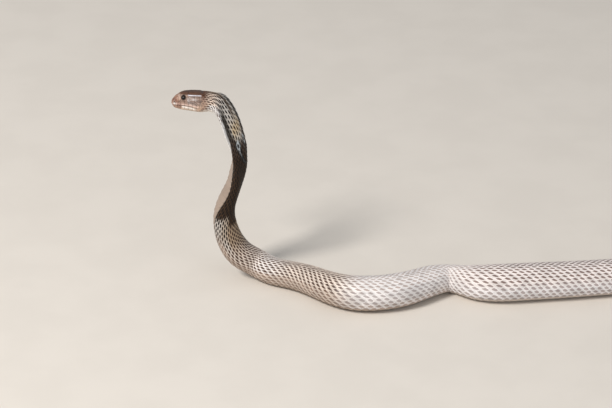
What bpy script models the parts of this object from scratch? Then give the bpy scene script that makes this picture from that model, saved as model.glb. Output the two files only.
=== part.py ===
"""An Indian cobra at life size, reared up with its hood half spread, as a still display model.

Metres, +Z up. The head points along -X and the body runs along +X over the floor at z = 0.
-Y is the snake's left side on the reared part. The origin lies under the first bend on the floor.
"""

import math

import bmesh
import bpy
import numpy as np
from mathutils import Matrix, Vector

MM = 0.001
NODE_GAP = 0.3
FLOOR_SHARE = 0.93
FIRST_LYING_ROLL = 7.0
REARED_TO = 185.0
LYING_FROM = 265.0
SNOUT_TO_NECK = 41.0
EYE_RADIUS = 2.6
WING_HALF_THICKNESS = 2.3
HOOD_DROOP = 1.5
HOOD_CORE = 0.45
HOOD_BELLY = 2.5
THROAT_DEPTH = 3.2
THROAT_PLACE = 8.0
THROAT_REACH = 22.0
VENTRAL_EDGE = math.radians(126)
REARED_SCUTE_LENGTH = 6.0
LYING_SCUTE_LENGTH = 11.0
SCUTE_STEP = 0.55
FULL_STEP_THICKNESS = 9.0
SCUTE_ROOT = 0.5
SCUTE_TIP = 0.1
SHIELD_STEP = 0.35
HOOD_SIDES = 26
REARED_SIDES = 20
LYING_SIDES = 18
TAIL_SIDES = 12
HEAD_SIDES = 32
HEAD_RINGS = 30
RING_CROWDING = 1.15
JAW_SHARE = 0.975

# The reared part, from behind the head down to the floor, in millimetres and degrees:
# x, height, half width, half thickness, hood spread from 0 to 1, roll toward the left.
REARED_Y = 70.0
REARED = (
    (-220.0, 213.2, 12.0, 9.5, 0.00, -8),
    (-199.0, 213.2, 12.0, 9.5, 0.00, -8),
    (-187.0, 213.3, 12.0, 9.5, 0.00, -8),
    (-178.8, 213.2, 12.6, 9.5, 0.05, -8),
    (-171.9, 212.0, 22.1, 8.2, 0.50, -2),
    (-166.2, 207.4, 27.3, 6.6, 0.85, 4),
    (-161.3, 199.6, 28.7, 5.6, 1.00, 8),
    (-156.7, 188.6, 29.0, 5.0, 1.00, 11),
    (-152.2, 175.6, 25.1, 4.8, 1.00, 15),
    (-148.1, 160.1, 20.2, 5.2, 0.90, 19),
    (-146.7, 144.5, 18.0, 7.3, 0.65, 19),
    (-149.3, 129.9, 15.0, 8.5, 0.40, 9),
    (-154.3, 112.9, 13.8, 8.6, 0.15, -5),
    (-162.2, 92.5, 12.2, 10.3, 0.00, -8),
    (-165.2, 78.0, 12.6, 11.7, 0.00, 14),
    (-164.4, 64.0, 13.5, 12.8, 0.00, 32),
    (-161.6, 52.0, 14.4, 13.7, 0.00, 42),
    (-155.8, 38.5, 15.4, 14.6, 0.00, 44),
    (-146.8, 27.0, 16.0, 14.9, 0.00, 38),
    (-132.5, 17.6, 16.2, 14.8, 0.00, 22),
)

# The part that lies on the floor, in millimetres: x, y, half width, half height.
LYING = (
    (-114.7, 58.0, 16.3, 14.8),
    (-96.6, 48.7, 16.4, 14.9),
    (-75.9, 36.7, 17.4, 15.6),
    (-48.3, 12.9, 19.2, 17.2),
    (-24.8, 0.2, 20.7, 18.6),
    (0.0, -0.4, 20.8, 18.7),
    (25.5, 7.6, 20.3, 18.3),
    (45.9, 20.8, 19.0, 17.3),
    (63.7, 33.0, 17.5, 16.3),
    (78.1, 38.3, 16.2, 15.2),
    (93.0, 32.7, 17.6, 16.5),
    (108.3, 23.7, 20.4, 18.8),
    (124.8, 20.0, 21.8, 20.0),
    (154.1, 21.7, 22.2, 20.2),
    (192.9, 26.5, 21.8, 19.8),
    (256.0, 35.5, 21.2, 19.2),
    (330.0, 50.0, 21.4, 19.4),
    (392.0, 84.0, 21.6, 19.6),
    (414.0, 140.0, 21.4, 19.4),
    (388.0, 192.0, 20.8, 18.8),
    (363.0, 242.0, 19.8, 18.0),
    (388.0, 292.0, 18.2, 16.6),
    (446.0, 308.0, 16.2, 14.8),
    (505.0, 282.0, 14.0, 12.8),
    (545.0, 230.0, 11.8, 10.8),
    (572.0, 176.0, 9.6, 8.8),
    (613.0, 134.0, 7.2, 6.7),
    (668.0, 123.0, 4.4, 4.1),
    (721.0, 140.0, 1.3, 1.2),
)

# Where one node ends and the next begins, as a distance behind the head in millimetres.
HOOD_ENDS = 108.0
REARED_ENDS = 214.0
BACK_IS_PALE = 320.0
TAIL_NARROWS = 1110.0
BODY_NODES = (
    ("hood", 0.0, HOOD_ENDS),
    ("raised_forebody", HOOD_ENDS, REARED_ENDS),
    ("front_body_1", REARED_ENDS, BACK_IS_PALE),
    ("front_body_2", BACK_IS_PALE, 452.0),
    ("mid_body_1", 452.0, 590.0),
    ("mid_body_2", 590.0, 725.0),
    ("mid_body_3", 725.0, 850.0),
    ("rear_body_1", 850.0, 975.0),
    ("rear_body_2", 975.0, TAIL_NARROWS),
    ("rear_body_3", TAIL_NARROWS, 1236.0),
    ("tail_base", 1236.0, 1350.0),
    ("tail_tip", 1350.0, None),
)

# The head from the snout back, in millimetres: distance behind the snout, half width, top,
# underside, height of the widest level, squareness of the section.
HEAD = (
    (0.1, 1.3, -1.8, -4.6, -3.2, 2.0),
    (0.8, 3.0, -0.2, -6.6, -3.4, 2.1),
    (2.0, 4.6, 1.5, -8.2, -3.6, 2.2),
    (3.6, 5.8, 3.4, -9.2, -3.7, 2.4),
    (5.6, 6.8, 5.2, -9.8, -3.7, 2.5),
    (8.2, 7.8, 7.0, -10.2, -3.6, 2.6),
    (11.0, 8.8, 8.4, -10.6, -3.5, 2.7),
    (14.5, 9.9, 9.3, -10.9, -3.4, 2.7),
    (18.5, 11.1, 9.7, -11.1, -3.2, 2.7),
    (23.0, 12.2, 9.9, -11.6, -3.0, 2.6),
    (28.0, 13.0, 9.9, -12.2, -2.7, 2.5),
    (32.0, 13.2, 9.8, -12.5, -2.3, 2.4),
    (36.0, 12.9, 9.6, -12.4, -1.8, 2.2),
    (39.0, 12.7, 9.5, -12.2, -1.2, 2.1),
    (40.85, 12.6, 9.5, -12.0, -0.8, 2.0),
)
# The line of the mouth seen from the side: distance behind the snout, height.
MOUTH = ((-2.0, -5.0), (2.0, -5.3), (6.0, -5.0), (13.0, -4.6), (21.0, -5.0), (29.0, -6.6))
JAW_BACK = (35.5, -16.0)
CUTTER_REACH = 20.0
EYE_PLACE = (13.3, 7.1, 3.8)
BROW_PLACE = (13.8, 6.8, 6.4)
BROW_SIZE = (4.8, 1.7, 1.0)
NOSTRIL_PLACE = (3.4, 5.4, -1.7)
NOSTRIL_RADIUS = 0.75
# The head's raised shields. On top: distance behind the snout and from the middle line.
PAIRED_SHIELDS = {
    "internasal": ((2.4, 0.2), (2.9, 3.1), (5.0, 4.2), (5.6, 2.4), (5.3, 0.2)),
    "prefrontal": ((5.8, 0.2), (6.1, 2.5), (5.5, 4.5), (8.6, 6.1), (9.3, 4.9), (10.5, 2.9), (10.2, 0.2)),
    "supraocular": (
        (11.2, 3.3), (9.7, 5.2), (9.1, 6.6), (11.5, 7.9), (14.0, 8.4), (17.0, 7.8), (17.5, 4.5), (16.8, 2.9),
        (14.2, 3.3),
    ),
    "parietal": (
        (19.8, 0.2), (17.5, 2.6), (18.2, 4.5), (18.0, 6.6), (24.0, 7.6), (30.0, 7.0), (31.4, 5.2), (32.2, 2.6),
        (31.0, 0.2),
    ),
}
FRONTAL = ((10.8, 0.0), (10.8, 2.7), (14.2, 2.8), (16.8, 2.3), (19.2, 0.0))
# The upper lip's shields, by their borders: distance behind the snout, height of the top corner.
LIP_BORDERS = (
    (1.6, -3.2), (4.3, -2.5), (7.1, -1.7), (10.3, 0.9), (14.2, 0.9), (18.3, -1.0), (22.7, -0.5), (27.0, -1.8),
    (30.0, -3.6),
)
LIP_OVERHANG = 0.6
SHIELD_GAP = 0.35

SKIN_BROWN = (0.30, 0.23, 0.18)
SKIN_PALE = (0.52, 0.45, 0.40)
HOOD_BROWN = (0.12, 0.09, 0.065)
HEAD_BROWN = (0.22, 0.13, 0.095)
JAW_CREAM = (0.66, 0.52, 0.43)
EYE_BLACK = (0.012, 0.009, 0.008)


def material(name, colour, roughness):
    made = bpy.data.materials.new(name)
    made.use_nodes = True
    surface = made.node_tree.nodes["Principled BSDF"]
    surface.inputs["Base Color"].default_value = (*colour, 1.0)
    surface.inputs["Roughness"].default_value = roughness
    made.diffuse_color = (*colour, 1.0)
    return made


def natural_spline(rows):
    """A curve with no sudden change of bend through the rows, and its parameter at each row."""
    rows = np.array(rows, float)
    count = len(rows)
    gaps = np.linalg.norm(np.diff(rows[:, :3], axis=0), axis=1)
    knots = np.concatenate([[0.0], np.cumsum(gaps)])
    system = np.eye(count)
    right = np.zeros_like(rows)
    for i in range(1, count - 1):
        system[i, i - 1 : i + 2] = gaps[i - 1], 2 * (gaps[i - 1] + gaps[i]), gaps[i]
        slopes = (rows[i + 1] - rows[i]) / gaps[i] - (rows[i] - rows[i - 1]) / gaps[i - 1]
        right[i] = 6 * slopes
    bends = np.linalg.solve(system, right)

    def at(t):
        i = min(max(int(np.searchsorted(knots, t, side="right")) - 1, 0), count - 2)
        gap, before, after = gaps[i], knots[i + 1] - t, t - knots[i]
        cubic = (bends[i] * before**3 + bends[i + 1] * after**3) / (6 * gap)
        start = (rows[i] / gap - bends[i] * gap / 6) * before
        end = (rows[i + 1] / gap - bends[i + 1] * gap / 6) * after
        return cubic + start + end

    return at, knots


class Spine:
    """The body's middle line with its sizes, measured in millimetres behind the head."""

    STEP = 0.5
    HEAD_ROW = 3

    def __init__(self):
        rows = [(x, REARED_Y, z, w, b, hood, roll) for x, z, w, b, hood, roll in REARED]
        rows += [(x, y, FLOOR_SHARE * b, w, b, 0.0, 0.0) for x, y, w, b in LYING]
        rows[len(REARED)] = (*rows[len(REARED)][:6], FIRST_LYING_ROLL)
        at, knots = natural_spline(rows)
        samples = np.array([at(t) for t in np.arange(0.0, knots[-1], self.STEP)])
        steps = np.linalg.norm(np.diff(samples[:, :3], axis=0), axis=1)
        lengths = np.concatenate([[0.0], np.cumsum(steps)])
        start = np.interp(knots[self.HEAD_ROW], np.arange(0.0, knots[-1], self.STEP), lengths)
        self.lengths = lengths - start
        self.samples = samples
        self.length = self.lengths[-1]

    def values(self, s):
        return np.array([np.interp(s, self.lengths, column) for column in self.samples.T])

    def place(self, s):
        """The point, and the directions to the tail, to the left and to the back."""
        here = self.values(s)
        toward_tail = self.values(s + 1.0)[:3] - self.values(s - 1.0)[:3]
        toward_tail /= np.linalg.norm(toward_tail)
        reared = np.cross((0.0, -1.0, 0.0), toward_tail)
        lying = np.array((0.0, 0.0, 1.0)) - toward_tail[2] * toward_tail
        share = min(max((s - REARED_TO) / (LYING_FROM - REARED_TO), 0.0), 1.0)
        share = share * share * (3 - 2 * share)
        back = (1 - share) * reared / np.linalg.norm(reared)
        back = back + share * lying / max(np.linalg.norm(lying), 0.01)
        back -= (back @ toward_tail) * toward_tail
        back /= np.linalg.norm(back)
        left = np.cross(toward_tail, back)
        roll = math.radians(here[6])
        turned_back = math.cos(roll) * back + math.sin(roll) * left
        return here, toward_tail, np.cross(toward_tail, turned_back), turned_back


def section(here, s, angle, lift):
    """How far to the left and to the back one point of the body's section lies."""
    half_width, half_thickness = here[3], here[4]
    hood = min(max(here[5], 0.0), 1.0)
    across, up = math.sin(angle), math.cos(angle)
    reach = HOOD_CORE
    if up < 0:
        throat = math.exp(-(((s - THROAT_PLACE) / THROAT_REACH) ** 2))
        half_thickness += THROAT_DEPTH * throat + HOOD_BELLY * hood
        reach += 0.15 * throat
    core = math.exp(-((across / reach) ** 2))
    spread = WING_HALF_THICKNESS + (half_thickness - WING_HALF_THICKNESS) * core
    height = (1 - hood) * half_thickness + hood * spread
    rounded = math.copysign(abs(up) ** (1 - 0.4 * hood), up)
    return (half_width + lift) * across, (height + lift) * rounded - hood * HOOD_DROOP * across**2


def ring(spine, s, sides, lift):
    here, _, left, back = spine.place(s)
    points = []
    for k in range(sides):
        angle = 2 * math.pi * k / sides
        belly = abs(angle - math.pi) < math.pi - VENTRAL_EDGE
        across, up = section(here, s, angle, lift if belly else 0.0)
        point = here[:3] + across * left + up * back
        points.append((point[0], point[1], max(point[2], 0.0)))
    return points


def loft(name, rings, finish):
    """One closed mesh through rings of points given in millimetres."""
    mesh = bmesh.new()
    rows = [[mesh.verts.new(Vector(point) * MM) for point in points] for points in rings]
    for first, second in zip(rows, rows[1:]):
        for k in range(len(first)):
            after = (k + 1) % len(first)
            mesh.faces.new((first[k], first[after], second[after], second[k]))
    mesh.faces.new(rows[0][::-1])
    mesh.faces.new(rows[-1])
    bmesh.ops.recalc_face_normals(mesh, faces=mesh.faces)
    for face in mesh.faces:
        face.smooth = len(face.verts) == 4
    data = bpy.data.meshes.new(name)
    mesh.to_mesh(data)
    mesh.free()
    data.materials.append(finish)
    return bpy.data.objects.new(name, data)


def scuted_stations(spine, start, end, scute_length):
    """Two stations to each belly scute, low at its root and lifted at its free edge."""
    count = round((end - start) / scute_length)
    length = (end - start) / count
    stations = []
    for i in range(count):
        free_edge = start + (i + 1) * length - SCUTE_TIP
        half_thickness = spine.values(free_edge)[4]
        step = SCUTE_STEP * min(half_thickness / FULL_STEP_THICKNESS, 1.0)
        stations.append((start + i * length + SCUTE_ROOT, 0.0))
        stations.append((free_edge, step))
    stations[0] = (start, 0.0)
    stations[-1] = (end, 0.0)
    return stations


def body_node(spine, name, start, end, finish):
    if end is None:
        end = spine.length
    start = start + NODE_GAP / 2
    end = end - NODE_GAP / 2
    reared = end < REARED_ENDS
    stations = scuted_stations(spine, start, end, REARED_SCUTE_LENGTH if reared else LYING_SCUTE_LENGTH)
    sides = REARED_SIDES if reared else LYING_SIDES
    if name == "hood":
        sides = HOOD_SIDES
    if start > TAIL_NARROWS:
        sides = TAIL_SIDES
    return loft(name, [ring(spine, s, sides, step) for s, step in stations], finish)


def head_rings(grow):
    """Rings of the head from the snout back, grown outward by some millimetres."""
    at, knots = natural_spline(HEAD)
    rings = []
    for i in range(HEAD_RINGS + 1):
        x, width, top, low, middle, square = at(knots[-1] * (i / HEAD_RINGS) ** RING_CROWDING)
        width += grow
        top += grow
        low -= grow
        points = []
        for k in range(HEAD_SIDES):
            angle = 2 * math.pi * (k + 0.5) / HEAD_SIDES
            across, up = math.sin(angle), math.cos(angle)
            reach = top - middle if up > 0 else middle - low
            y = width * math.copysign(abs(across) ** (2 / square), -across)
            z = middle + reach * math.copysign(abs(up) ** (2 / square), up)
            points.append((x, y, z))
        rings.append(points)
    return rings


def ball(name, place, size, segments, rings, finish):
    mesh = bmesh.new()
    bmesh.ops.create_uvsphere(mesh, u_segments=segments, v_segments=rings, radius=1.0)
    for vert in mesh.verts:
        vert.co = Vector([(place[i] + size[i] * vert.co[i]) * MM for i in range(3)])
    for face in mesh.faces:
        face.smooth = True
    data = bpy.data.meshes.new(name)
    mesh.to_mesh(data)
    mesh.free()
    data.materials.append(finish)
    return bpy.data.objects.new(name, data)


def jaw_block(name, grow, finish):
    """A block whose top follows the mouth and whose back slopes down behind its corner."""
    outline = [(x, z + grow) for x, z in MOUTH]
    outline[-1] = (MOUTH[-1][0] + grow, MOUTH[-1][1] + grow)
    outline += [(JAW_BACK[0] + grow, JAW_BACK[1]), (MOUTH[0][0], JAW_BACK[1])]
    near = [(x, -CUTTER_REACH, z) for x, z in outline]
    return prisms(name, [(near, (0.0, 2 * CUTTER_REACH, 0.0))], finish)


def prisms(name, shapes, finish):
    """One mesh of closed prisms. Each is a flat outline, and the way it is drawn out."""
    mesh = bmesh.new()
    for outline, way in shapes:
        face = mesh.faces.new([mesh.verts.new(Vector(point) * MM) for point in outline])
        grown = bmesh.ops.extrude_face_region(mesh, geom=[face])
        moved = [item for item in grown["geom"] if isinstance(item, bmesh.types.BMVert)]
        bmesh.ops.translate(mesh, verts=moved, vec=Vector(way) * MM)
    bmesh.ops.recalc_face_normals(mesh, faces=mesh.faces)
    data = bpy.data.meshes.new(name)
    mesh.to_mesh(data)
    mesh.free()
    data.materials.append(finish)
    return bpy.data.objects.new(name, data)


def mouth_height(x):
    return float(np.interp(x, [point[0] for point in MOUTH], [point[1] for point in MOUTH]))


def shield_shapes():
    """Upright prisms over the top shields, and prisms out to each side over the lip's."""
    upward = (0.0, 0.0, CUTTER_REACH)
    frontal = [*FRONTAL, *[(x, -y) for x, y in FRONTAL[-2:0:-1]]]
    shapes = [([(x, y, 0.0) for x, y in frontal], upward)]
    for side in (-1, 1):
        for outline in PAIRED_SHIELDS.values():
            shapes.append(([(x, side * y, 0.0) for x, y in outline], upward))
        for (front, front_top), (rear, rear_top) in zip(LIP_BORDERS, LIP_BORDERS[1:]):
            front += SHIELD_GAP / 2
            rear -= SHIELD_GAP / 2
            corners = (
                (front, mouth_height(front) - LIP_OVERHANG),
                (rear, mouth_height(rear) - LIP_OVERHANG),
                (rear, rear_top),
                (front, front_top),
            )
            outline = [(x, side * 0.1, z) for x, z in corners]
            shapes.append((outline, (0.0, side * CUTTER_REACH, 0.0)))
    return shapes


def cut(body, operation, tools):
    """Applies one Boolean for each tool, and removes the tools."""
    holder = bpy.data.collections.new("cutters")
    bpy.context.scene.collection.children.link(holder)
    for tool in tools:
        holder.objects.link(tool)
        modifier = body.modifiers.new(tool.name, "BOOLEAN")
        modifier.operation = operation
        modifier.solver = "EXACT"
        modifier.object = tool
    bpy.context.view_layer.update()
    graph = bpy.context.evaluated_depsgraph_get()
    solid = bpy.data.meshes.new_from_object(body.evaluated_get(graph))
    body.modifiers.clear()
    body.data = solid
    for tool in tools:
        bpy.data.objects.remove(tool)
    bpy.data.collections.remove(holder)


def head_nodes(spine, snake, finishes):
    """The head, the lower jaw and the two eyes, in the head's own frame."""
    here, toward_tail, left, back = spine.place(0.0)
    frame = Matrix((toward_tail, -left, back)).transposed().to_4x4()
    frame.translation = Vector(here[:3] - SNOUT_TO_NECK * toward_tail) * MM

    rings = head_rings(0.0)
    head = loft("head", rings, finishes["head"])
    shields = loft("shields", head_rings(SHIELD_STEP), finishes["head"])
    jaw = loft("lower_jaw", rings, finishes["jaw"])
    for node in (head, jaw, shields):
        snake.objects.link(node)
    cut(jaw, "INTERSECT", [jaw_block("jaw_shape", 0.0, finishes["jaw"])])
    for vert in jaw.data.vertices:
        vert.co.y *= JAW_SHARE
    cut(shields, "INTERSECT", [prisms("shield_shapes", shield_shapes(), finishes["head"])])
    snake.objects.unlink(shields)
    brows = []
    hollows = [jaw_block("jaw_room", NODE_GAP, finishes["jaw"])]
    for side in (-1, 1):
        mirrored = (1, side, 1)
        brow = [a * b for a, b in zip(BROW_PLACE, mirrored)]
        brows.append(ball(f"brow_{side}", brow, BROW_SIZE, 14, 8, finishes["head"]))
        eye = [a * b for a, b in zip(EYE_PLACE, mirrored)]
        socket = [EYE_RADIUS + NODE_GAP] * 3
        hollows.append(ball(f"socket_{side}", eye, socket, 20, 12, finishes["head"]))
        nostril = [a * b for a, b in zip(NOSTRIL_PLACE, mirrored)]
        hollows.append(
            ball(f"nostril_{side}", nostril, [NOSTRIL_RADIUS] * 3, 8, 6, finishes["head"])
        )
        name = "eye_left" if side < 0 else "eye_right"
        node = ball(name, eye, [EYE_RADIUS] * 3, 18, 12, finishes["eye"])
        snake.objects.link(node)
        node.matrix_world = frame
    cut(head, "UNION", [shields, *brows])
    cut(head, "DIFFERENCE", hollows)
    for node in (head, jaw):
        node.matrix_world = frame


def main():
    for obj in list(bpy.data.objects):
        bpy.data.objects.remove(obj)
    snake = bpy.data.collections.new("indian_cobra")
    bpy.context.scene.collection.children.link(snake)
    finishes = {
        "head": material("head_brown", HEAD_BROWN, 0.45),
        "jaw": material("jaw_cream", JAW_CREAM, 0.45),
        "eye": material("eye_black", EYE_BLACK, 0.08),
        "hood": material("hood_brown", HOOD_BROWN, 0.5),
        "fore": material("forebody_brown", SKIN_BROWN, 0.45),
        "body": material("body_pale_brown", SKIN_PALE, 0.4),
    }
    spine = Spine()
    head_nodes(spine, snake, finishes)
    for name, start, end in BODY_NODES:
        part = "body"
        if start < BACK_IS_PALE:
            part = "fore"
        if name == "hood":
            part = "hood"
        snake.objects.link(body_node(spine, name, start, end, finishes[part]))


main()
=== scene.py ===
"""The looks of a still Indian cobra: one skin, with solid scales and scutes over it, and two eyes.

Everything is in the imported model's frame. The shape functions work in millimetres.
"""

import bpy
import numpy as np
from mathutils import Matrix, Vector
from mathutils.kdtree import KDTree


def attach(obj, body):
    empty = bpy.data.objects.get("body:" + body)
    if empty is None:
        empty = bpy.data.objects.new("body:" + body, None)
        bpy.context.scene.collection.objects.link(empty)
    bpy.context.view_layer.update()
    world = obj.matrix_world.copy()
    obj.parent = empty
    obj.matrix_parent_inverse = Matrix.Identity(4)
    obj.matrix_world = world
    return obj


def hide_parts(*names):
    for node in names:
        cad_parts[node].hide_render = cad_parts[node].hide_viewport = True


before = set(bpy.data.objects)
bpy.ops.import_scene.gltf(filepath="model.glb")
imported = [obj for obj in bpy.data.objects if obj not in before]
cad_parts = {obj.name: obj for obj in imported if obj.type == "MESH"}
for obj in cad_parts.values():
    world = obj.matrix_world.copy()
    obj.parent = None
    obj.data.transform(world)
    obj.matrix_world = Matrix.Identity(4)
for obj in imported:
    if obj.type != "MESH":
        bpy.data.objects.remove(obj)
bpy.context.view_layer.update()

MM = 0.001
SEED = 11

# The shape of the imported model, with the same named sizes as its source.
FLOOR_SHARE = 0.93
FIRST_LYING_ROLL = 7.0
REARED_TO = 185.0
LYING_FROM = 265.0
SNOUT_TO_NECK = 41.0
EYE_RADIUS = 2.6
WING_HALF_THICKNESS = 2.3
HOOD_DROOP = 1.5
HOOD_CORE = 0.45
HOOD_BELLY = 2.5
THROAT_DEPTH = 3.2
THROAT_PLACE = 8.0
THROAT_REACH = 22.0
REARED_Y = 70.0
REARED = (
    (-220.0, 213.2, 12.0, 9.5, 0.00, -8),
    (-199.0, 213.2, 12.0, 9.5, 0.00, -8),
    (-187.0, 213.3, 12.0, 9.5, 0.00, -8),
    (-178.8, 213.2, 12.6, 9.5, 0.05, -8),
    (-171.9, 212.0, 22.1, 8.2, 0.50, -2),
    (-166.2, 207.4, 27.3, 6.6, 0.85, 4),
    (-161.3, 199.6, 28.7, 5.6, 1.00, 8),
    (-156.7, 188.6, 29.0, 5.0, 1.00, 11),
    (-152.2, 175.6, 25.1, 4.8, 1.00, 15),
    (-148.1, 160.1, 20.2, 5.2, 0.90, 19),
    (-146.7, 144.5, 18.0, 7.3, 0.65, 19),
    (-149.3, 129.9, 15.0, 8.5, 0.40, 9),
    (-154.3, 112.9, 13.8, 8.6, 0.15, -5),
    (-162.2, 92.5, 12.2, 10.3, 0.00, -8),
    (-165.2, 78.0, 12.6, 11.7, 0.00, 14),
    (-164.4, 64.0, 13.5, 12.8, 0.00, 32),
    (-161.6, 52.0, 14.4, 13.7, 0.00, 42),
    (-155.8, 38.5, 15.4, 14.6, 0.00, 44),
    (-146.8, 27.0, 16.0, 14.9, 0.00, 38),
    (-132.5, 17.6, 16.2, 14.8, 0.00, 22),
)
LYING = (
    (-114.7, 58.0, 16.3, 14.8),
    (-96.6, 48.7, 16.4, 14.9),
    (-75.9, 36.7, 17.4, 15.6),
    (-48.3, 12.9, 19.2, 17.2),
    (-24.8, 0.2, 20.7, 18.6),
    (0.0, -0.4, 20.8, 18.7),
    (25.5, 7.6, 20.3, 18.3),
    (45.9, 20.8, 19.0, 17.3),
    (63.7, 33.0, 17.5, 16.3),
    (78.1, 38.3, 16.2, 15.2),
    (93.0, 32.7, 17.6, 16.5),
    (108.3, 23.7, 20.4, 18.8),
    (124.8, 20.0, 21.8, 20.0),
    (154.1, 21.7, 22.2, 20.2),
    (192.9, 26.5, 21.8, 19.8),
    (256.0, 35.5, 21.2, 19.2),
    (330.0, 50.0, 21.4, 19.4),
    (392.0, 84.0, 21.6, 19.6),
    (414.0, 140.0, 21.4, 19.4),
    (388.0, 192.0, 20.8, 18.8),
    (363.0, 242.0, 19.8, 18.0),
    (388.0, 292.0, 18.2, 16.6),
    (446.0, 308.0, 16.2, 14.8),
    (505.0, 282.0, 14.0, 12.8),
    (545.0, 230.0, 11.8, 10.8),
    (572.0, 176.0, 9.6, 8.8),
    (613.0, 134.0, 7.2, 6.7),
    (668.0, 123.0, 4.4, 4.1),
    (721.0, 140.0, 1.3, 1.2),
)
HEAD = (
    (0.1, 1.3, -1.8, -4.6, -3.2, 2.0),
    (0.8, 3.0, -0.2, -6.6, -3.4, 2.1),
    (2.0, 4.6, 1.5, -8.2, -3.6, 2.2),
    (3.6, 5.8, 3.4, -9.2, -3.7, 2.4),
    (5.6, 6.8, 5.2, -9.8, -3.7, 2.5),
    (8.2, 7.8, 7.0, -10.2, -3.6, 2.6),
    (11.0, 8.8, 8.4, -10.6, -3.5, 2.7),
    (14.5, 9.9, 9.3, -10.9, -3.4, 2.7),
    (18.5, 11.1, 9.7, -11.1, -3.2, 2.7),
    (23.0, 12.2, 9.9, -11.6, -3.0, 2.6),
    (28.0, 13.0, 9.9, -12.2, -2.7, 2.5),
    (32.0, 13.2, 9.8, -12.5, -2.3, 2.4),
    (36.0, 12.9, 9.6, -12.4, -1.8, 2.2),
    (39.0, 12.7, 9.5, -12.2, -1.2, 2.1),
    (40.85, 12.6, 9.5, -12.0, -0.8, 2.0),
)
MOUTH = ((-2.0, -5.0), (2.0, -5.3), (6.0, -5.0), (13.0, -4.6), (21.0, -5.0), (29.0, -6.6))
EYE_PLACE = (13.3, 7.1, 3.8)
BROW_PLACE = (13.8, 8.2, 6.9)
NOSTRIL_PLACE = (3.4, 5.4, -1.7)

# The skin and its relief, the scales and their rows, the scutes, the unwrap and the hood's mark.
HEAD_HALF_THICKNESS = 9.5
BELLY_EDGE = 126.0
HOOD_EDGE_TURN = 12.0
JOINT_REACH = 4.0
JOINT_ROUNDS = 12
SHIELD_RISE = 0.34
MOUTH_DEPTH = 1.5
SOCKET_DEPTH = 1.8
BROW_RISE = 0.75
BROW_REACH = (4.0, 1.6, 1.2)
NOSTRIL_DEPTH = 1.1
NOSTRIL_REACH = (1.0, 1.2, 0.8)
HOOD_END = 108.0
FOREBODY_END = 214.0
VENT_PLACE = 1236.0
TIP_GAP = 0.2
COAT_DEPTH = 0.85
AROUND_STEPS = 160
SCALE_OVERLAP = 1.26
SCALE_WIDTH = 0.80
MOST_ROWS = 20
SCALES_TO = 0.985
THROAT_SCALES_TO = 1.97
ROW_STRETCH = 0.15
HOOD_STRETCH = 0.48
HOOD_SHORTER = 0.34
HOOD_NARROWER = 0.45
SCUTE_PITCH = 6.75
FIRST_SCUTE = -9.0
SCUTE_OVERLAP = 1.22
SCUTE_END = 0.93
SCUTE_ROOT = 0.18
SCUTE_THICKNESS = 0.4
SCUTE_U = np.array((0.0, 0.3, 0.6, 0.85, 1.0))[None, :, None]
TAIL_SCUTE_PAIRS = 60
STRIP_EDGE = 0.02
STRIP_SHARE = 0.96
MARK_PLACE = 62.5
MARK_SPREAD = 9.0
MARK_RING = 2.4
MARK_STRETCH = 1.7
FAR = 99.0

# The bump of scales and skin, the floor and the camera.
BUMP_STRENGTH = 0.25
BUMP_DISTANCE = 0.00012
FLOOR_REACH = 6.0
FLOOR_DROP = 0.0004
CAMERA_PLACE = (-0.0764, -2.7453, 1.5233)
CAMERA_AIM = (-0.0764, 0.2445, 0.0)
CAMERA_LENS = 171.12
SENSOR_WIDTH = 36.0
VIEW_END = 50.0


def srgb(red, green, blue):
    """A colour given as it looks on a screen, from 0 to 255, as linear light."""
    share = np.array((red, green, blue)) / 255.0
    return np.where(share <= 0.04045, share / 12.92, ((share + 0.055) / 1.055) ** 2.4)


NAPE_DARK = srgb(56, 42, 34)
NAPE_LINE = srgb(128, 110, 92)
NECK_DARK = srgb(66, 47, 38)
NECK_LINE = srgb(214, 194, 178)
SPOT_GREY = srgb(112, 98, 94)
HOOD_DARK = srgb(17, 12, 9)
HOOD_LINE = srgb(246, 238, 228)
HOOD_GOLD = srgb(240, 216, 178)
HOOD_AMBER = srgb(70, 48, 28)
HOOD_BAND_LINE = srgb(70, 63, 53)
# The lower hood and the raised forebody's back: their own dark brown, darkened further as painted
# shade, and their pale scale edges turned dark brown as painted shade.
HOOD_LOW_LINE_AND_SHADE = srgb(74, 54, 38)
FORE_DARK_AND_SHADE = srgb(24, 15, 9)
FORE_LINE_AND_SHADE = srgb(76, 55, 36)
CHECK_DARK = srgb(30, 22, 16)
CHECK_LINE = srgb(200, 192, 184)
BASE_DARK = srgb(62, 45, 33)
BASE_LINE = srgb(174, 152, 128)
BEND_DARK = srgb(84, 63, 52)
BEND_LINE = srgb(222, 208, 196)
# A painted highlight: a glint of light on the pale scale edges in the bend at the foot of the raised
# forebody.
PAINTED_BEND_HIGHLIGHT = srgb(238, 234, 232)
LOW_DARK = srgb(132, 112, 99)
LOW_LINE = srgb(200, 185, 173)
PALE_DARK = srgb(178, 162, 155)
PALE_LINE = srgb(233, 228, 226)
GREY_DARK = srgb(176, 166, 164)
BODY_DARK = srgb(122, 100, 92)
BODY_LINE = srgb(230, 221, 217)
BACK_DARK = srgb(98, 78, 70)
FLANK_DARK = srgb(172, 160, 158)
FLANK_LINE = srgb(236, 232, 232)
TAIL_DARK = srgb(112, 96, 87)
BELLY_SHADE = srgb(156, 139, 126)
BELLY_CREAM = srgb(182, 164, 149)
BELLY_PALE = srgb(214, 202, 192)
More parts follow.
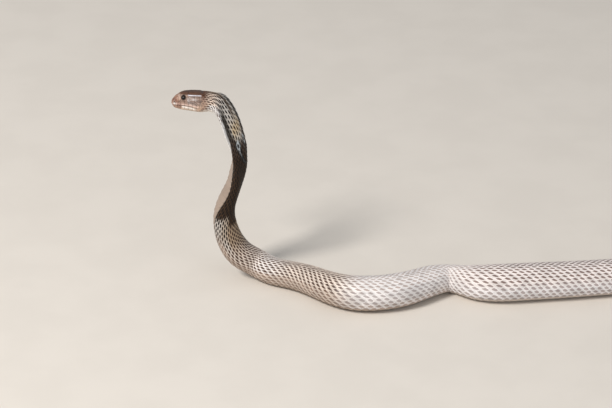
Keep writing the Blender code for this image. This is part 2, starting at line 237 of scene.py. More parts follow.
# Partly painted shade: the throat's cream, darkened toward tan for the shade under the neck.
THROAT_TAN_AND_SHADE = srgb(196, 172, 150)
EDGE_WHITE = srgb(238, 236, 234)
BAND_DARK = srgb(70, 58, 50)
MARK_PALE = srgb(236, 242, 244)
MARK_BLACK = srgb(16, 13, 12)
TOP_BROWN = srgb(92, 60, 42)
TOP_DARK = srgb(60, 38, 27)
CHEEK = srgb(148, 122, 108)
CHEEK_PALE = srgb(216, 208, 206)
CHEEK_DARK = srgb(98, 76, 66)
CHEEK_TAN = srgb(196, 164, 144)
# A painted highlight: the pale blue line of light along the ridge between the head's top and its
# side.
PAINTED_RIDGE_HIGHLIGHT = srgb(226, 226, 236)
SNOUT = srgb(150, 112, 94)
SNOUT_RED = srgb(112, 72, 58)
LIP_PINK = srgb(208, 180, 166)
LIP_WHITE = srgb(244, 236, 230)
JAW_TAN = srgb(206, 174, 150)
CHIN_TAN = srgb(206, 184, 164)
# Painted shade: the nostril's hollow, the groove of the mouth and the crease round the eye's socket.
NOSTRIL_SHADE = srgb(20, 13, 10)
MOUTH_SHADE = srgb(52, 33, 28)
EYE_RIM_SHADE = srgb(48, 35, 28)


def smooth(low, high, value):
    share = np.clip((value - low) / (high - low), 0.0, 1.0)
    return share * share * (3 - 2 * share)


def bump(value, middle, reach):
    return np.exp(-(((value - middle) / reach) ** 2))


def mix(first, second, share):
    share = np.asarray(share)[..., None]
    return first * (1 - share) + second * share


def spans(*steps):
    """Distances along the body, from ranges that each give their start, end and step."""
    return np.concatenate([np.arange(*step) for step in steps])


def layers(colour, *over):
    """A colour with others laid over it in turn, each with its own share."""
    for other, share in over:
        colour = mix(colour, other, share)
    return colour


def natural_spline(rows):
    """A curve with no sudden change of bend through the rows, and its parameter at each row."""
    rows = np.array(rows, float)
    count = len(rows)
    gaps = np.linalg.norm(np.diff(rows[:, :3], axis=0), axis=1)
    knots = np.concatenate([[0.0], np.cumsum(gaps)])
    system = np.eye(count)
    right = np.zeros_like(rows)
    for i in range(1, count - 1):
        system[i, i - 1 : i + 2] = gaps[i - 1], 2 * (gaps[i - 1] + gaps[i]), gaps[i]
        slopes = (rows[i + 1] - rows[i]) / gaps[i] - (rows[i] - rows[i - 1]) / gaps[i - 1]
        right[i] = 6 * slopes
    bends = np.linalg.solve(system, right)

    def at(t):
        i = np.clip(np.searchsorted(knots, t, side="right") - 1, 0, count - 2)
        gap = gaps[i][:, None]
        before = (knots[i + 1] - t)[:, None]
        after = (t - knots[i])[:, None]
        cubic = (bends[i] * before**3 + bends[i + 1] * after**3) / (6 * gap)
        start = (rows[i] / gap - bends[i] * gap / 6) * before
        end = (rows[i + 1] / gap - bends[i + 1] * gap / 6) * after
        return cubic + start + end

    return at, knots


class Spine:
    """The body's middle line with its sizes, measured in millimetres behind the head."""

    STEP = 0.5
    HEAD_ROW = 3

    def __init__(self):
        rows = [(x, REARED_Y, z, w, b, hood, roll) for x, z, w, b, hood, roll in REARED]
        rows += [(x, y, FLOOR_SHARE * b, w, b, 0.0, 0.0) for x, y, w, b in LYING]
        rows[len(REARED)] = (*rows[len(REARED)][:6], FIRST_LYING_ROLL)
        at, knots = natural_spline(rows)
        times = np.arange(0.0, knots[-1], self.STEP)
        self.samples = at(times)
        steps = np.linalg.norm(np.diff(self.samples[:, :3], axis=0), axis=1)
        lengths = np.concatenate([[0.0], np.cumsum(steps)])
        self.lengths = lengths - np.interp(knots[self.HEAD_ROW], times, lengths)
        self.length = self.lengths[-1]

    def values(self, s):
        columns = [np.interp(s, self.lengths, column) for column in self.samples.T]
        return np.stack(columns, axis=-1)

    def place(self, s):
        """Points, and the directions to the tail, to the left and to the back."""
        here = self.values(s)
        toward_tail = unit(self.values(s + 1.0)[:, :3] - self.values(s - 1.0)[:, :3])
        reared = unit(np.cross((0.0, -1.0, 0.0), toward_tail))
        lying = np.array((0.0, 0.0, 1.0)) - toward_tail[:, 2:] * toward_tail
        size = np.linalg.norm(lying, axis=1, keepdims=True)
        share = smooth(REARED_TO, LYING_FROM, s)[:, None]
        back = (1 - share) * reared + share * lying / np.maximum(size, 0.01)
        back = unit(back - np.sum(back * toward_tail, axis=1, keepdims=True) * toward_tail)
        left = np.cross(toward_tail, back)
        roll = np.radians(here[:, 6:7])
        back = np.cos(roll) * back + np.sin(roll) * left
        return here, toward_tail, np.cross(toward_tail, back), back


def unit(vectors):
    return vectors / np.maximum(np.linalg.norm(vectors, axis=-1, keepdims=True), 1e-9)


def section(here, s, angles):
    """Half of the body's section, as offsets to the left and to the back."""
    half_width, half_thickness, hood = here[:, 3:4], here[:, 4:5], np.clip(here[:, 5:6], 0, 1)
    across, up = np.sin(angles), np.cos(angles)
    under = (up < 0) * bump(s[:, None], THROAT_PLACE, THROAT_REACH)
    thickness = half_thickness + THROAT_DEPTH * under + HOOD_BELLY * hood * (up < 0)
    core = np.exp(-((across / (HOOD_CORE + 0.15 * under)) ** 2))
    spread = WING_HALF_THICKNESS + (thickness - WING_HALF_THICKNESS) * core
    height = (1 - hood) * thickness + hood * spread
    rounded = np.sign(up) * np.abs(up) ** (1 - 0.4 * hood)
    return half_width * across, height * rounded - hood * HOOD_DROOP * across**2


def head_sizes(x):
    """The head's half width, top, low side, middle height and squareness behind the snout."""
    at, knots = natural_spline(HEAD)
    table = at(np.linspace(0.0, knots[-1], 900))
    return [np.interp(x, table[:, 0], column) for column in table.T[1:]]


def head_section(x, angles):
    """Half of the head's section, at distances behind the snout."""
    width, top, low, middle, square = np.array(head_sizes(x))[..., None]
    across, up = np.sin(angles), np.cos(angles)
    reach = np.where(up > 0, top - middle, middle - low)
    offsets = width * np.abs(across) ** (2 / square)
    return offsets, middle + reach * np.sign(up) * np.abs(up) ** (2 / square)


class Surface:
    """The outer surface from the snout to the tail's tip. It is looked up by s, the distance
    behind the head, and by a, the place around: 0 on the back, 1 and -1 where the belly
    scutes meet the left and right sides, and 2 under the belly."""

    def __init__(self, spine):
        self.s = spans(
            (-40.9, -36.0, 0.15),
            (-36.0, 0.0, 0.4),
            (0.0, 330.0, 0.75),
            (330.0, spine.length - 0.5, 1.5),
        )
        s = self.s
        angles = np.radians(np.linspace(0.0, 180.0, 241))[None, :]
        here, toward_tail, left, back = spine.place(np.maximum(s, 0.0))
        centre = here[:, :3] + np.minimum(s, 0.0)[:, None] * toward_tail
        self.head_axes = toward_tail[0], left[0], back[0]
        self.head_origin = here[0, :3] - SNOUT_TO_NECK * toward_tail[0]
        across, up = section(here, s, angles)
        on_head = s < 0
        across[on_head], up[on_head] = head_section(SNOUT_TO_NECK + s[on_head], angles)
        hood = np.where(on_head, 0.0, np.clip(here[:, 5], 0, 1))
        self.half_thickness = np.where(on_head, HEAD_HALF_THICKNESS, here[:, 4])

        edge = np.radians(BELLY_EDGE + HOOD_EDGE_TURN * hood)
        places = np.linspace(0.0, 2.0, AROUND_STEPS // 2 + 1)
        sides, ups = np.zeros((2, len(s), len(places)))
        self.side_length = np.zeros(len(s))
        for k in range(len(s)):
            steps = np.hypot(np.diff(across[k]), np.diff(up[k]))
            lengths = np.concatenate([[0.0], np.cumsum(steps)])
            to_edge = np.interp(edge[k], angles[0], lengths)
            self.side_length[k] = to_edge
            wanted = np.interp(places, (0.0, 1.0, 2.0), (0.0, to_edge, lengths[-1]))
            sides[k] = np.interp(wanted, lengths, across[k])
            ups[k] = np.interp(wanted, lengths, up[k])

        # From a = -2 round over the back to just short of a = 2.
        sides = np.concatenate([-sides[:, :0:-1], sides[:, :-1]], axis=1)
        ups = np.concatenate([ups[:, :0:-1], ups[:, :-1]], axis=1)
        self.offsets = np.stack([sides, ups], axis=-1)
        points = centre[:, None] + sides[..., None] * left[:, None] + ups[..., None] * back[:, None]
        joint = np.abs(s[1:-1]) < JOINT_REACH
        for _ in range(JOINT_ROUNDS):
            average = (points[:-2] + 2 * points[1:-1] + points[2:]) / 4
            points[1:-1][joint] = average[joint]
        # Where the rings crowd in the bend of the throat, the body's own direction steadies
        # the normals.
        along = np.gradient(points, s, axis=0)
        onward = np.sum(along * toward_tail[:, None, :], axis=-1, keepdims=True)
        along += (1 - smooth(0.1, 0.6, onward)) * toward_tail[:, None, :]
        around = np.roll(points, -1, axis=1) - np.roll(points, 1, axis=1)
        self.points = points
        self.normals = unit(np.cross(around, along))

    def between(self, s, a, *grids):
        """Each grid's values at these places, weighted between its nearest points."""
        row = np.interp(s, self.s, np.arange(len(self.s)))
        column = (np.asarray(a) + 2.0) % 4.0 / 4.0 * AROUND_STEPS
        i = np.minimum(row.astype(int), len(self.s) - 2)
        j = column.astype(int) % AROUND_STEPS
        right = (j + 1) % AROUND_STEPS
        fi, fj = (row - i)[..., None], (column - np.floor(column))[..., None]
        found = []
        for grid in grids:
            first = grid[i, j] * (1 - fj) + grid[i, right] * fj
            second = grid[i + 1, j] * (1 - fj) + grid[i + 1, right] * fj
            found.append(first * (1 - fi) + second * fi)
        return found

    def at(self, s, values):
        return np.interp(s, self.s, values)

    def depth(self, s):
        """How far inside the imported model's surface the skin lies."""
        thin = 0.13 * self.at(s, self.half_thickness)
        return np.minimum(thin, COAT_DEPTH) * (0.42 + 0.58 * smooth(-12.0, 4.0, s))

    def lifted(self, s, a, height):
        """Points at a height above the skin, and never below the floor."""
        points, normals = self.between(s, a, self.points, self.normals)
        points = points + unit(normals) * (height - self.depth(s))[..., None]
        points[..., 2] = np.maximum(points[..., 2], 0.0)
        return points


# Colours by place

def hood_mark(s, a):
    """The spectacle mark on the hood's back: how pale and how black each place is."""
    across = a * surface.at(s, surface.side_length)
    line = np.full(np.shape(across), FAR)
    inside = np.full(np.shape(across), FAR)
    for side in (-1, 1):
        d = np.hypot((s - MARK_PLACE) / MARK_STRETCH, across - side * MARK_SPREAD)
        line = np.minimum(line, np.abs(d - MARK_RING))
        inside = np.minimum(inside, d)
    behind = np.clip((s - MARK_PLACE - 5.0) / 17.0, 0.0, 1.0)
    bow = np.abs(np.abs(across) - (MARK_SPREAD - 0.7) * np.sqrt(1 - behind**2))
    bow = np.where((s > MARK_PLACE + 4.0) & (s < MARK_PLACE + 22.0), bow, FAR)
    front = np.hypot((s - MARK_PLACE + 4.0) / 1.4, np.abs(across) - MARK_SPREAD + 1.0)
    pale = np.maximum(0.85 * (1 - smooth(0.25, 0.85, line)), 1 - smooth(1.1, 1.9, front))
    pale = np.maximum(pale, (1 - smooth(0.2, 0.8, bow)) * (0.6 - 0.5 * smooth(68.0, 78.0, s)))
    line = np.minimum(line, bow)
    black = np.maximum(1 - smooth(1.2, 2.6, line), 1 - smooth(MARK_RING - 0.8, MARK_RING, inside))
    return pale, black * (1 - pale)


def white_edge(s, a):
    """The pale flank under the hood's edge, from the jaw down to where the hood ends."""
    places = (-6.0, 0.0, 8.0, 15.0, 30.0, 50.0, 62.0, 75.0)
    starts = np.interp(s, places, (0.86, 0.70, 0.61, 0.59, 0.61, 0.62, 0.70, 0.86))
    return smooth(starts, starts + 0.07, np.abs(a)) * (1 - smooth(70.0, 84.0, s))


def back_colours(s, a):
    """The dark middles and the pale edges of the scales on the back and the sides."""
    side = np.abs(a)
    nape = (1 - smooth(0.03, 0.16, side)) * (1 - smooth(24.0, 40.0, s))
    band = smooth(0.37, 0.46, side) * smooth(10.0, 20.0, s)
    amber = bump(s, 43.0, 9.0) * (1 - smooth(0.30, 0.42, side))
    # The dark part ends at once, in black and white checks on the flank.
    low = smooth(0.52, 0.68, side)
    ends = 147.0 + 4.0 * low + 12.0 * (1 - smooth(0.26, 0.42, side))
    behind = smooth(0.0, 6.0, s - ends)
    check = smooth(0.30, 0.42, side) * (1 - smooth(10.0, 40.0, s - ends - 12.0 * (1 - low)))
    whiter = np.maximum(0.4 + 0.6 * low, smooth(165.0, 185.0, s)) * smooth(0.30, 0.42, side)
    below = smooth(0.50, 0.66, side) * smooth(168.0, 186.0, s)
    grey = smooth(0.40, 0.52, side) * (1 - smooth(0.74, 0.84, side))
    pale = smooth(332.0, 366.0, s)
    rear = smooth(450.0, 520.0, s)
    white = white_edge(s, a)
    mark_pale, mark_black = hood_mark(s, a)
    dark = layers(
        NECK_DARK,
        (HOOD_DARK, smooth(2.0, 16.0, s)),
        (NAPE_DARK, nape),
        (HOOD_AMBER, 0.9 * amber),
        # Partly painted shade: the forebody's back is dark of its own and darker still where it
        # faced away from the light.
        (FORE_DARK_AND_SHADE, smooth(50.0, 70.0, s)),
        (mix(BASE_DARK, CHECK_DARK, check), behind),
        (BEND_DARK, smooth(178.0, 215.0, s)),
        (LOW_DARK, below),
        (mix(PALE_DARK, GREY_DARK, grey), pale),
        (mix(BODY_DARK, FLANK_DARK, smooth(0.42, 0.70, side)), rear),
        (BACK_DARK, (1 - smooth(0.03, 0.14, side)) * smooth(480.0, 560.0, s)),
        (TAIL_DARK, smooth(1150.0, 1380.0, s)),
        (mix(SPOT_GREY, EDGE_WHITE, smooth(20.0, 27.0, s)), white * smooth(-4.0, 6.0, s)),
        (MARK_BLACK, mark_black),
        (MARK_PALE, mark_pale),
    )
    line = layers(
        NECK_LINE,
        (HOOD_LINE, smooth(0.0, 14.0, s)),
        (NAPE_LINE, nape),
        (HOOD_GOLD, amber),
        (HOOD_BAND_LINE, band),
        # Partly painted shade: the pale edges turn dark brown on the lower hood and on the
        # forebody's back.
        (HOOD_LOW_LINE_AND_SHADE, smooth(0.0, 12.0, s - 52.0 + 12.0 * smooth(0.30, 0.45, side))),
        (FORE_LINE_AND_SHADE, smooth(84.0, 100.0, s)),
        (mix(BASE_LINE, CHECK_LINE, whiter), behind),
        (BEND_LINE, smooth(178.0, 210.0, s)),
        # Painted highlight on the pale edges in the bend at the foot of the raised forebody.
        (PAINTED_BEND_HIGHLIGHT, 0.7 * bump(s, 244.0, 20.0)),
        (LOW_LINE, below),
        (PALE_LINE, pale),
        (mix(BODY_LINE, FLANK_LINE, smooth(0.50, 0.75, side)), rear),
        (EDGE_WHITE, white),
        (MARK_BLACK, mark_black),
        (MARK_PALE, mark_pale),
    )
    top = 1 - smooth(0.36, 0.50, side)
    jaw = smooth(0.52, 0.70, side)
    head_dark = layers(CHEEK_DARK, (CHEEK, jaw), (TOP_DARK, top))
    head_line = layers(CHEEK, (JAW_TAN, 0.45 * jaw), (TOP_BROWN, top))
    on_body = smooth(-7.0, 1.0, s)
    return mix(head_dark, dark, on_body), mix(head_line, line, on_body)


def belly_colour(s, a):
    """The belly scutes: a tan throat, its cream partly darkened as painted shade, two dark bands
    under the hood, and cream behind them.
    """
    side = np.abs(np.abs(a) - 2.0)
    return layers(
        # The throat's cream, darkened in part as painted shade.
        THROAT_TAN_AND_SHADE,
        (BELLY_SHADE, smooth(20.0, 60.0, s)),
        (EDGE_WHITE, smooth(0.35, 0.85, side) * bump(s, 8.0, 14.0)),
        (BELLY_CREAM, smooth(215.0, 260.0, s)),
        (BELLY_PALE, smooth(330.0, 520.0, s)),
        (BAND_DARK, 0.9 * bump(s, 42.0, 4.5) * bump(side, 0.70, 0.14)),
        (BAND_DARK, 0.8 * bump(s, 58.0, 5.5) + 0.5 * bump(s, 73.0, 4.0)),
    )


# Mesh and material helpers

def new_mesh(name, points, faces, flat=0, sharp=None):
    """One object from points in millimetres and a list of equal-sized face arrays. As many of
    the last faces as flat says aren't smooth."""
    data = bpy.data.meshes.new(name)
    data.vertices.add(len(points))
    data.vertices.foreach_set("co", (points * MM).astype(np.float32).ravel())
    loops = np.concatenate([block.ravel() for block in faces])
    sizes = np.concatenate([np.full(len(block), block.shape[1]) for block in faces])
    data.loops.add(len(loops))
    data.loops.foreach_set("vertex_index", loops.astype(np.int32))
    data.polygons.add(len(sizes))
    starts = np.concatenate([[0], np.cumsum(sizes)[:-1]])
    data.polygons.foreach_set("loop_start", starts.astype(np.int32))
    data.polygons.foreach_set("use_smooth", np.arange(len(sizes)) < len(sizes) - flat)
    data.update(calc_edges=True)
    if sharp is not None:
        ends = np.zeros(len(data.edges) * 2, np.int32)
        data.edges.foreach_get("vertices", ends)
        crisp = sharp(ends.reshape(-1, 2))
        data.attributes.new("sharp_edge", "BOOLEAN", "EDGE").data.foreach_set("value", crisp)
    made = bpy.data.objects.new(name, data)
    bpy.context.scene.collection.objects.link(made)
    return made


def quads_between(left, right):
    """Four-sided faces between each line of point numbers and the line to its right."""
    return np.stack([left[:-1], right[:-1], right[1:], left[1:]], axis=-1).reshape(-1, 4)


def quads_round(index):
    """Four-sided faces between rings of point numbers."""
    return quads_between(index, np.roll(index, -1, axis=1))


def cap(tip, ring):
    """Triangles from one point to a ring."""
    return np.stack([np.full(len(ring), tip), ring, np.roll(ring, -1)], axis=-1)


def belong(piece, material):
    """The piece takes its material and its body."""
    piece.data.materials.append(material)
    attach(piece, "root")


def colour_attribute(piece, name, colours):
    flat = np.concatenate([colours, np.ones((len(colours), 1))], axis=1)
    attribute = piece.data.attributes.new(name, "FLOAT_COLOR", "POINT")
    attribute.data.foreach_set("color", flat.astype(np.float32).ravel())


def vector_attribute(piece, name, values):
    attribute = piece.data.attributes.new(name, "FLOAT_VECTOR", "POINT")
    attribute.data.foreach_set("vector", values.astype(np.float32).ravel())


class Nodes:
    """A short way to write a node material."""

    def __init__(self, name):
        self.material = bpy.data.materials.new(name)
        self.material.use_nodes = True
        self.tree = self.material.node_tree
        self.surface = self.tree.nodes["Principled BSDF"]

    def put(self, socket, value):
        """A value, or a link from another node, at a socket."""
        if isinstance(value, bpy.types.NodeSocket):
            self.tree.links.new(value, socket)
        else:
            socket.default_value = value

    def add(self, kind, inputs=(), **settings):
        node = self.tree.nodes.new(kind)
        for key, value in settings.items():
            setattr(node, key, value)
        for key, value in dict(inputs).items():
            self.put(node.inputs[key], value)
        return node

    def colour(self, name):
        return self.add("ShaderNodeAttribute", attribute_name=name).outputs["Color"]

    def vector(self, name):
        """The three numbers of a vector attribute."""
        found = self.add("ShaderNodeAttribute", attribute_name=name).outputs["Vector"]
        return self.add("ShaderNodeSeparateXYZ", {0: found}).outputs

    def math(self, operation, *values):
        return self.add("ShaderNodeMath", dict(enumerate(values)), operation=operation).outputs[0]

    def ramp(self, value, low, high, start=0.0, end=1.0):
        inputs = {0: value, 1: low, 2: high, 3: start, 4: end}
        node = self.add("ShaderNodeMapRange", inputs, interpolation_type="SMOOTHSTEP")
        return node.outputs[0]

    def noise(self, scale, detail=3.0, roughness=0.5):
        place = self.add("ShaderNodeTexCoord").outputs["Object"]
        inputs = {"Vector": place, "Scale": scale, "Detail": detail, "Roughness": roughness}
        return self.add("ShaderNodeTexNoise", inputs).outputs["Fac"]

    def mixed(self, share, first, second, blend="MIX"):
        inputs = {0: share, 6: first, 7: second}
        return self.add("ShaderNodeMix", inputs, data_type="RGBA", blend_type=blend).outputs[2]

    def shaded(self, colour, first, second):
        """A colour times two values."""
        shade = self.math("MULTIPLY", first, second)
        shade = self.add("ShaderNodeCombineXYZ", {0: shade, 1: shade, 2: shade}).outputs[0]
        return self.mixed(1.0, colour, shade, "MULTIPLY")

    def finish(self, inputs, height=None):
        """The material, with these inputs of its surface and a bump of this height."""
        for key, value in inputs.items():
            self.put(self.surface.inputs[key], value)
        if height is not None:
            bumps = {"Height": height, "Strength": BUMP_STRENGTH, "Distance": BUMP_DISTANCE}
            self.put(self.surface.inputs["Normal"], self.add("ShaderNodeBump", bumps).outputs[0])
        return self.material


def scale_material(name, roughness, gloss):
    """A scale with a dark middle and a pale edge, from the plate's own coordinates."""
    n = Nodes(name)
    plate = n.vector("plate")
    spot = n.vector("spot")
    past = n.math("SUBTRACT", plate[0], 0.58)
    along = n.math("DIVIDE", past, spot[0])
    leaning = n.math("SUBTRACT", plate[1], n.math("MULTIPLY", past, spot[2]))
    across = n.math("DIVIDE", leaning, spot[1])
    away = n.math("SQRT", n.math("ADD", n.math("POWER", along, 2.0), n.math("POWER", across, 2.0)))
    rough_edge = n.math("MULTIPLY", n.math("SUBTRACT", n.noise(900.0), 0.5), 0.5)
    middle = n.ramp(n.math("ADD", away, rough_edge), 1.15, 0.78)
    colour = n.mixed(middle, n.colour("pale"), n.colour("dark"))
    grain = n.ramp(n.noise(1600.0, 4.0, 0.6), 0.3, 0.7, 0.86, 1.1)
    each = n.ramp(plate[2], 0.0, 1.0, 0.88, 1.1)
    colour = n.shaded(colour, grain, each)
    rough = n.ramp(n.noise(700.0), 0.3, 0.7, roughness - 0.05, roughness + 0.08)
    inputs = {"Base Color": colour, "Roughness": rough, "Specular IOR Level": gloss}
    return n.finish(inputs, n.noise(2600.0))


def skin_material():
    n = Nodes("skin")
    grain = n.ramp(n.noise(1200.0, 5.0, 0.6), 0.3, 0.7, 0.84, 1.10)
    place = n.add("ShaderNodeTexCoord").outputs["Object"]
    drawn = n.add("ShaderNodeMapping", {"Vector": place, "Scale": (0.35, 1.0, 1.0)}).outputs[0]
    streaks = n.add("ShaderNodeTexNoise", {"Vector": drawn, "Scale": 520.0, "Detail": 3.0})
    patch = n.ramp(streaks.outputs["Fac"], 0.32, 0.68, 0.80, 1.12)
    colour = n.shaded(n.colour("tone"), grain, patch)
    rough = n.ramp(n.noise(500.0), 0.3, 0.7, 0.36, 0.5)
    return n.finish({"Base Color": colour, "Roughness": rough}, n.noise(2200.0, 4.0))


def eye_material():
    """A round black pupil in a dark bronze iris, under a clear glossy cover."""
    n = Nodes("eye")
    spread = n.vector("eye")
    streaks = n.math("MULTIPLY", n.math("SUBTRACT", n.noise(1800.0, 4.0), 0.5), 0.08)
    away = n.math("ADD", spread[0], streaks)
    iris = n.mixed(n.ramp(away, 0.46, 0.72), (0.020, 0.010, 0.006, 1), (0.006, 0.004, 0.004, 1))
    ring = n.ramp(n.math("ABSOLUTE", n.math("SUBTRACT", away, 0.435)), 0.03, 0.0)
    iris = n.mixed(ring, iris, (0.085, 0.044, 0.020, 1))
    colour = n.mixed(n.ramp(away, 0.39, 0.42), (0.0012, 0.0011, 0.0014, 1), iris)
    return n.finish(
        {
            "Base Color": colour,
            "Roughness": 0.06,
            "Specular IOR Level": 0.15,
            "Coat Weight": 0.45,
            "Coat Roughness": 0.03,
        }
    )


# Plates over the skin

def plate_piece(name, material, s, a, top, bottom, u, v, dark, pale, spots, draws, cell):
    """Closed plates over the skin, joined in one piece.

    s, a, top, bottom are one grid for each plate. u and v are the plate's own coordinates, and
    cell is each plate's place and size on the strip that the skin unwraps to.
    """
    count, rows, columns = s.shape
    index = np.arange(rows * columns).reshape(rows, columns)
    rim = np.concatenate([index[0], index[1:, -1], index[-1, -2::-1], index[-2:0:-1, 0]])
    sides = [surface.lifted(s, a, height).reshape(count, -1, 3) for height in (top, bottom)]
    points = np.concatenate(sides, axis=1)
    each = points.shape[1]
    quads = quads_between(index[:, :-1], index[:, 1:])
    after = np.roll(rim, -1)
    below = rim + index.size
    walls = np.stack([after, rim, below, np.roll(below, -1)], axis=-1)
    base = quads[:, ::-1]
    offsets = (np.arange(count) * each)[:, None, None]
    faces = [(block + offsets).reshape(-1, 4) for block in (quads, walls, base + index.size)]
    crisp = np.zeros((each, each), bool)
    crisp[rim, after] = crisp[after, rim] = True
    piece = new_mesh(
        name,
        points.reshape(-1, 3),
        faces,
        flat=len(faces[2]),
        sharp=lambda ends: crisp[ends[:, 0] % each, ends[:, 1] % each],
    )

    def both(values):
        flat = values.reshape(count, rows * columns, -1)
        return np.concatenate([flat, flat], axis=1).reshape(count * each, -1)

    plate = np.stack(np.broadcast_arrays(u, v, draws[:, None, None], s)[:3], axis=-1)
    vector_attribute(piece, "plate", both(plate))
    vector_attribute(piece, "spot", both(np.broadcast_to(spots[:, None, None, :], (*s.shape, 3))))
    colour_attribute(piece, "dark", both(dark))
    colour_attribute(piece, "pale", both(pale))

    # The unwrap for baking: each plate at its own place, its walls just round it, and its
    # hidden underside small in the corner.
    inner = plate.reshape(count, -1, 3)[..., :2] * (1.0, 0.5) - (0.5, 0.0)
    spread = np.concatenate([inner * 0.84, inner * 0.96], axis=1)
    shown = cell[:, None, :2] + spread * cell[:, None, 2:]
    hidden = cell[:, None, :2] + cell[:, None, 2:] * (0.47 + 0.04 * inner)
    corners = shown[:, quads.ravel()], shown[:, walls.ravel()], hidden[:, base.ravel()]
    coordinates = np.concatenate([block.reshape(-1, 2) for block in corners])
    layer = piece.data.uv_layers.new(name="OFBake")
    layer.data.foreach_set("uv", coordinates.astype(np.float32).ravel())
    belong(piece, material)


def strip_cells(along, start, end, margins, middle, length, width):
    """Each plate's place and size on the strip that the piece's own skin unwraps to."""
    span = end - start + sum(margins)
    place = STRIP_EDGE + STRIP_SHARE * (along - start + margins[0]) / span
    return np.stack(np.broadcast_arrays(place, middle, length / span, width), axis=-1)


def pitch(s):
    """The distance from one scale of a row to the next."""
    return np.interp(
        s,
        (-14.0, 0.0, 20.0, 60.0, 110.0, 215.0, 320.0, 470.0, 1000.0, 1236.0, 1460.0),
        (2.7, 4.0, 7.2, 7.4, 6.0, 6.2, 7.0, 7.7, 7.5, 6.4, 2.6),
    )


def rows_a_side(s):
    return np.interp(
        s,
        (-15.0, 0.0, 20.0, 60.0, 125.0, 215.0, 480.0, 850.0, 1100.0, 1236.0, 1300.0, 1460.0),
        (11.0, 10.0, 11.0, 11.0, 11.0, 10.5, 11.0, 10.5, 9.0, 8.0, 6.5, 2.6),
    )


def row_place(row, s):
    """Where a row runs around the body. The rows widen toward the belly, and on the hood toward
    the back, where they also run a little askew."""
    share = row / (rows_a_side(s) + 0.5)
    stretch = ROW_STRETCH - HOOD_STRETCH * on_hood(s)
    askew = np.interp(s, (-4.0, 12.0, 30.0, 48.0, 80.0), (0.0, 0.08, 0.0, -0.09, 0.0))
    # Past the edge of the belly a row on the hood never turns back.
    bent = np.where(stretch > 0, share, np.clip(share, -1.0, 1.0)) ** 3
    return share * (1 - stretch) + stretch * bent + askew * (1 - np.minimum(share**2, 1.0))


def first_scale(a):
    """Where the small scales begin behind the shields of the head."""
    places = (0.0, 0.2, 0.35, 0.5, 0.75, 0.95, 1.2, 1.5, 2.0)
    return np.interp(np.abs(a), places, (-8.8, -8.6, -9.6, -10.2, -10.2, -10.6, -13.5, -17.0, -19.0))


def on_hood(s):
    """Where the stretched hood parts the rows of scales, so that pale skin shows between them."""
    return smooth(2.0, 14.0, s) * (1 - smooth(62.0, 96.0, s))


def scale_slant(row, s):
    """How far the scales' tips turn toward the belly, as a share of their length."""
    share = np.minimum(np.abs(row) / 3.0, 1.0)
    low = 1 - 0.75 * smooth(0.75, 0.95, np.abs(row_place(row, s)))
    amount = np.interp(s, (0.0, 100.0, 215.0, 300.0, 450.0), (0.0, 0.04, 0.20, 0.30, 0.24))
    return np.sign(row) * share * low * amount


def scale_roots():
    """Every scale's root as its distance behind the head and its row."""
    stations = [-20.0]
    while stations[-1] < surface.s[-1] - 4.0:
        stations.append(stations[-1] + pitch(stations[-1]))
    stations = np.array(stations)
    between = (stations[:-1] + stations[1:]) / 2
    roots = []
    for row in range(-MOST_ROWS, MOST_ROWS + 1):
        for s in stations if row % 2 == 0 else between:
            place = abs(row_place(row, s))
            on_throat = place < THROAT_SCALES_TO and s < FIRST_SCUTE - 1.0
            if s > first_scale(place) and (place < SCALES_TO or on_throat):
                roots.append((s, row))
    return np.array(roots)


